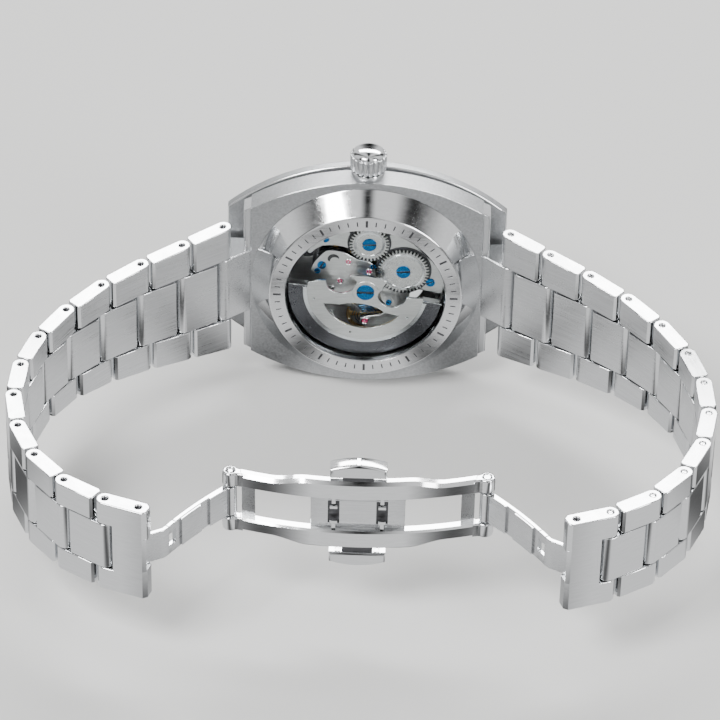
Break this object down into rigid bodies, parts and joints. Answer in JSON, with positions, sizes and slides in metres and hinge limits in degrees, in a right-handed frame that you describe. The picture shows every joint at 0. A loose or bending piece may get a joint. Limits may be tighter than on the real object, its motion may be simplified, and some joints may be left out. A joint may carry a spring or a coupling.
{
  "type": "skeleton wristwatch",
  "caption": "Automatic wristwatch with an open-worked movement behind a display back, tonneau steel case, tapering link bracelet and an open butterfly clasp.",
  "frame": {"origin": "where the hands' axis meets the outer face of the case-back crystal", "axes": "-Y out of the case back, +Y to the dial, +Z to the crown at 3 o'clock, +X to 12 o'clock"},
  "size_m": [0.107, 0.0783, 0.0431],
  "materials": {
    "brushed_steel": "satin brushed stainless steel",
    "polished_steel": "mirror polished stainless steel",
    "crystal": "clear mineral crystal",
    "gasket_rubber": "matt black rubber",
    "rhodium_plate": "rhodium plated, grained",
    "wheel_brass": "fine turned brass",
    "blued_steel": "heat blued steel",
    "dial_lacquer": "dark lacquered dial with steel markers"
  },
  "bodies": {
    "case": {"middle_case": "brushed_steel", "bezel": "polished_steel", "front_crystal": "crystal", "case_back": "polished_steel", "back_crystal": "crystal", "case_back_gasket": "gasket_rubber", "crown_tube": "polished_steel", "mainplate": "rhodium_plate", "barrel_bridge": "rhodium_plate", "train_bridge": "rhodium_plate", "balance_cock": "rhodium_plate", "dial": "dial_lacquer"},
    "setting_lever": {"setting_lever": "brushed_steel"},
    "crown": {"crown": "polished_steel", "winding_stem": "polished_steel"},
    "rotor": {"rotor": "rhodium_plate", "rotor_screw": "blued_steel"},
    "ratchet_wheel": {"ratchet_wheel": "polished_steel"},
    "crown_wheel": {"crown_wheel": "polished_steel"},
    "mainspring_barrel": {"mainspring_barrel": "wheel_brass"},
    "centre_wheel": {"centre_wheel": "wheel_brass", "minute_hand": "polished_steel"},
    "hour_hand": {"hour_hand": "polished_steel"},
    "third_wheel": {"third_wheel": "wheel_brass"},
    "fourth_wheel": {"fourth_wheel": "wheel_brass"},
    "seconds_hand": {"seconds_hand": "polished_steel"},
    "escape_wheel": {"escape_wheel": "polished_steel"},
    "pallet_fork": {"pallet_fork": "polished_steel"},
    "balance": {"balance_wheel": "wheel_brass", "hairspring": "blued_steel"},
    "link_left_01": {"link_left_01": "brushed_steel"},
    "link_left_02": {"link_left_02": "brushed_steel"},
    "link_left_03": {"link_left_03": "brushed_steel"},
    "link_left_04": {"link_left_04": "brushed_steel"},
    "link_left_05": {"link_left_05": "brushed_steel"},
    "link_left_06": {"link_left_06": "brushed_steel"},
    "link_left_07": {"link_left_07": "brushed_steel"},
    "link_left_08": {"link_left_08": "brushed_steel"},
    "link_left_09": {"link_left_09": "brushed_steel"},
    "link_left_10": {"link_left_10": "brushed_steel"},
    "link_left_11": {"link_left_11": "brushed_steel"},
    "end_link_left": {"end_link_left": "brushed_steel"},
    "clasp_arm_left": {"clasp_arm_left": "polished_steel"},
    "link_right_01": {"link_right_01": "brushed_steel"},
    "link_right_02": {"link_right_02": "brushed_steel"},
    "link_right_03": {"link_right_03": "brushed_steel"},
    "link_right_04": {"link_right_04": "brushed_steel"},
    "link_right_05": {"link_right_05": "brushed_steel"},
    "link_right_06": {"link_right_06": "brushed_steel"},
    "link_right_07": {"link_right_07": "brushed_steel"},
    "link_right_08": {"link_right_08": "brushed_steel"},
    "link_right_09": {"link_right_09": "brushed_steel"},
    "link_right_10": {"link_right_10": "brushed_steel"},
    "link_right_11": {"link_right_11": "brushed_steel"},
    "end_link_right": {"end_link_right": "brushed_steel"},
    "clasp_arm_right": {"clasp_arm_right": "polished_steel"},
    "clasp_frame": {"clasp_frame": "polished_steel", "hinge_pin_left": "polished_steel"},
    "push_button_top": {"push_button_top": "polished_steel"},
    "push_button_bottom": {"push_button_bottom": "polished_steel"}
  },
  "joints": [
    {"name": "left_pin_01", "type": "hinge", "parent": "case", "child": "link_left_01", "pos_m": [-0.0227, 0.0017, 0], "axis": [0, 0, 1], "range_deg": [-5, 0]},
    {"name": "left_pin_02", "type": "hinge", "parent": "link_left_01", "child": "link_left_02", "pos_m": [-0.02892, -0.00249, 0], "axis": [0, 0, 1], "range_deg": [-5, 0]},
    {"name": "left_pin_03", "type": "hinge", "parent": "link_left_02", "child": "link_left_03", "pos_m": [-0.03514, -0.00669, 0], "axis": [0, 0, 1], "range_deg": [-5, 0]},
    {"name": "left_pin_04", "type": "hinge", "parent": "link_left_03", "child": "link_left_04", "pos_m": [-0.04096, -0.01141, 0], "axis": [0, 0, 1], "range_deg": [-5, 0]},
    {"name": "left_pin_05", "type": "hinge", "parent": "link_left_04", "child": "link_left_05", "pos_m": [-0.04598, -0.01698, 0], "axis": [0, 0, 1], "range_deg": [-5, 0]},
    {"name": "left_pin_06", "type": "hinge", "parent": "link_left_05", "child": "link_left_06", "pos_m": [-0.04973, -0.02348, 0], "axis": [0, 0, 1], "range_deg": [-5, 0]},
    {"name": "left_pin_07", "type": "hinge", "parent": "link_left_06", "child": "link_left_07", "pos_m": [-0.0518, -0.03069, 0], "axis": [0, 0, 1], "range_deg": [-5, 0]},
    {"name": "left_pin_08", "type": "hinge", "parent": "link_left_07", "child": "link_left_08", "pos_m": [-0.05219, -0.03818, 0], "axis": [0, 0, 1], "range_deg": [-5, 0]},
    {"name": "left_pin_09", "type": "hinge", "parent": "link_left_08", "child": "link_left_09", "pos_m": [-0.05089, -0.04556, 0], "axis": [0, 0, 1], "range_deg": [-5, 0]},
    {"name": "left_pin_10", "type": "hinge", "parent": "link_left_09", "child": "link_left_10", "pos_m": [-0.04784, -0.05241, 0], "axis": [0, 0, 1], "range_deg": [-5, 0]},
    {"name": "left_pin_11", "type": "hinge", "parent": "link_left_10", "child": "link_left_11", "pos_m": [-0.04302, -0.05816, 0], "axis": [0, 0, 1], "range_deg": [-5, 0]},
    {"name": "left_pin_12", "type": "hinge", "parent": "link_left_11", "child": "end_link_left", "pos_m": [-0.03673, -0.06224, 0], "axis": [0, 0, 1], "range_deg": [-5, 0]},
    {"name": "left_bar", "type": "hinge", "parent": "end_link_left", "child": "clasp_arm_left", "pos_m": [-0.03175, -0.06406, 0], "axis": [0, 0, 1], "range_deg": [0, 83.13]},
    {"name": "right_pin_01", "type": "hinge", "parent": "case", "child": "link_right_01", "pos_m": [0.0227, 0.0017, 0], "axis": [0, 0, -1], "range_deg": [-5, 0]},
    {"name": "right_pin_02", "type": "hinge", "parent": "link_right_01", "child": "link_right_02", "pos_m": [0.02892, -0.00249, 0], "axis": [0, 0, -1], "range_deg": [-5, 0]},
    {"name": "right_pin_03", "type": "hinge", "parent": "link_right_02", "child": "link_right_03", "pos_m": [0.03514, -0.00669, 0], "axis": [0, 0, -1], "range_deg": [-5, 0]},
    {"name": "right_pin_04", "type": "hinge", "parent": "link_right_03", "child": "link_right_04", "pos_m": [0.04096, -0.01141, 0], "axis": [0, 0, -1], "range_deg": [-5, 0]},
    {"name": "right_pin_05", "type": "hinge", "parent": "link_right_04", "child": "link_right_05", "pos_m": [0.04598, -0.01698, 0], "axis": [0, 0, -1], "range_deg": [-5, 0]},
    {"name": "right_pin_06", "type": "hinge", "parent": "link_right_05", "child": "link_right_06", "pos_m": [0.04973, -0.02348, 0], "axis": [0, 0, -1], "range_deg": [-5, 0]},
    {"name": "right_pin_07", "type": "hinge", "parent": "link_right_06", "child": "link_right_07", "pos_m": [0.0518, -0.03069, 0], "axis": [0, 0, -1], "range_deg": [-5, 0]},
    {"name": "right_pin_08", "type": "hinge", "parent": "link_right_07", "child": "link_right_08", "pos_m": [0.05219, -0.03818, 0], "axis": [0, 0, -1], "range_deg": [-5, 0]},
    {"name": "right_pin_09", "type": "hinge", "parent": "link_right_08", "child": "link_right_09", "pos_m": [0.05089, -0.04556, 0], "axis": [0, 0, -1], "range_deg": [-5, 0]},
    {"name": "right_pin_10", "type": "hinge", "parent": "link_right_09", "child": "link_right_10", "pos_m": [0.04784, -0.05241, 0], "axis": [0, 0, -1], "range_deg": [-5, 0]},
    {"name": "right_pin_11", "type": "hinge", "parent": "link_right_10", "child": "link_right_11", "pos_m": [0.04302, -0.05816, 0], "axis": [0, 0, -1], "range_deg": [-5, 0]},
    {"name": "right_pin_12", "type": "hinge", "parent": "link_right_11", "child": "end_link_right", "pos_m": [0.03673, -0.06224, 0], "axis": [0, 0, -1], "range_deg": [-5, 0]},
    {"name": "right_bar", "type": "hinge", "parent": "end_link_right", "child": "clasp_arm_right", "pos_m": [0.03175, -0.06406, 0], "axis": [0, 0, -1], "range_deg": [0, 83.13]},
    {"name": "clasp_fold", "type": "hinge", "parent": "clasp_arm_left", "child": "clasp_frame", "pos_m": [-0.019, -0.05153, 0], "axis": [0, 0, -1], "range_deg": [0, 100]},
    {"name": "push_top", "type": "slide", "parent": "clasp_frame", "child": "push_button_top", "axis": [0, 0, -1], "range_m": [0, 0.0007]},
    {"name": "push_bottom", "type": "slide", "parent": "clasp_frame", "child": "push_button_bottom", "axis": [0, 0, 1], "range_m": [0, 0.0007]},
    {"name": "crown_pull", "type": "slide", "parent": "case", "child": "setting_lever", "axis": [0, 0, 1], "range_m": [0, 0.001]},
    {"name": "crown_turn", "type": "hinge", "parent": "setting_lever", "child": "crown", "pos_m": [0, 0.0072, 0.02], "axis": [0, 0, 1], "continuous": true},
    {"name": "crown_wheel_turn", "type": "hinge", "parent": "case", "child": "crown_wheel", "pos_m": [0.00045, 0.0032, 0.008], "axis": [0, 1, 0], "continuous": true},
    {"name": "ratchet_turn", "type": "hinge", "parent": "case", "child": "ratchet_wheel", "pos_m": [0.00595, 0.0032, 0.0029], "axis": [0, 1, 0], "continuous": true},
    {"name": "rotor_spin", "type": "hinge", "parent": "case", "child": "rotor", "pos_m": [0, 0.0015, 0], "axis": [0, 1, 0], "continuous": true},
    {"name": "train_run", "type": "hinge", "parent": "case", "child": "fourth_wheel", "pos_m": [-0.0041, 0.0055, 0.00043], "axis": [0, -1, 0], "continuous": true},
    {"name": "third_turn", "type": "hinge", "parent": "case", "child": "third_wheel", "pos_m": [-0.00282, 0.0049, 0.00418], "axis": [0, -1, 0], "continuous": true},
    {"name": "centre_turn", "type": "hinge", "parent": "case", "child": "centre_wheel", "pos_m": [0, 0.006, 0], "axis": [0, -1, 0], "continuous": true},
    {"name": "barrel_turn", "type": "hinge", "parent": "case", "child": "mainspring_barrel", "pos_m": [0.00595, 0.0052, 0.0029], "axis": [0, -1, 0], "continuous": true},
    {"name": "escape_turn", "type": "hinge", "parent": "case", "child": "escape_wheel", "pos_m": [-0.005, 0.0049, -0.0027], "axis": [0, -1, 0], "continuous": true},
    {"name": "hour_turn", "type": "hinge", "parent": "case", "child": "hour_hand", "pos_m": [0, 0.0094, 0], "axis": [0, -1, 0], "continuous": true},
    {"name": "seconds_turn", "type": "hinge", "parent": "case", "child": "seconds_hand", "pos_m": [0, 0.0103, 0], "axis": [0, -1, 0], "continuous": true},
    {"name": "pallet_rock", "type": "hinge", "parent": "case", "child": "pallet_fork", "pos_m": [-0.00257, 0.0049, -0.00493], "axis": [0, 1, 0], "range_deg": [-5, 5]},
    {"name": "balance_swing", "type": "hinge", "parent": "case", "child": "balance", "pos_m": [0, 0.0055, -0.0073], "axis": [0, 1, 0], "range_deg": [-150, 150]}
  ],
  "couplings": [
    {"joint": "left_bar", "follows": "clasp_fold", "ratio": 0.8313},
    {"joint": "right_bar", "follows": "clasp_fold", "ratio": 0.8313},
    {"joint": "crown_wheel_turn", "follows": "crown_turn", "ratio": -0.5},
    {"joint": "ratchet_turn", "follows": "crown_turn", "ratio": 0.38095},
    {"joint": "third_turn", "follows": "train_run", "ratio": -0.13333},
    {"joint": "centre_turn", "follows": "train_run", "ratio": 0.016667},
    {"joint": "barrel_turn", "follows": "train_run", "ratio": -0.0027778},
    {"joint": "escape_turn", "follows": "train_run", "ratio": -12},
    {"joint": "hour_turn", "follows": "train_run", "ratio": 0.0013889},
    {"joint": "seconds_turn", "follows": "train_run", "ratio": 1}
  ]
}
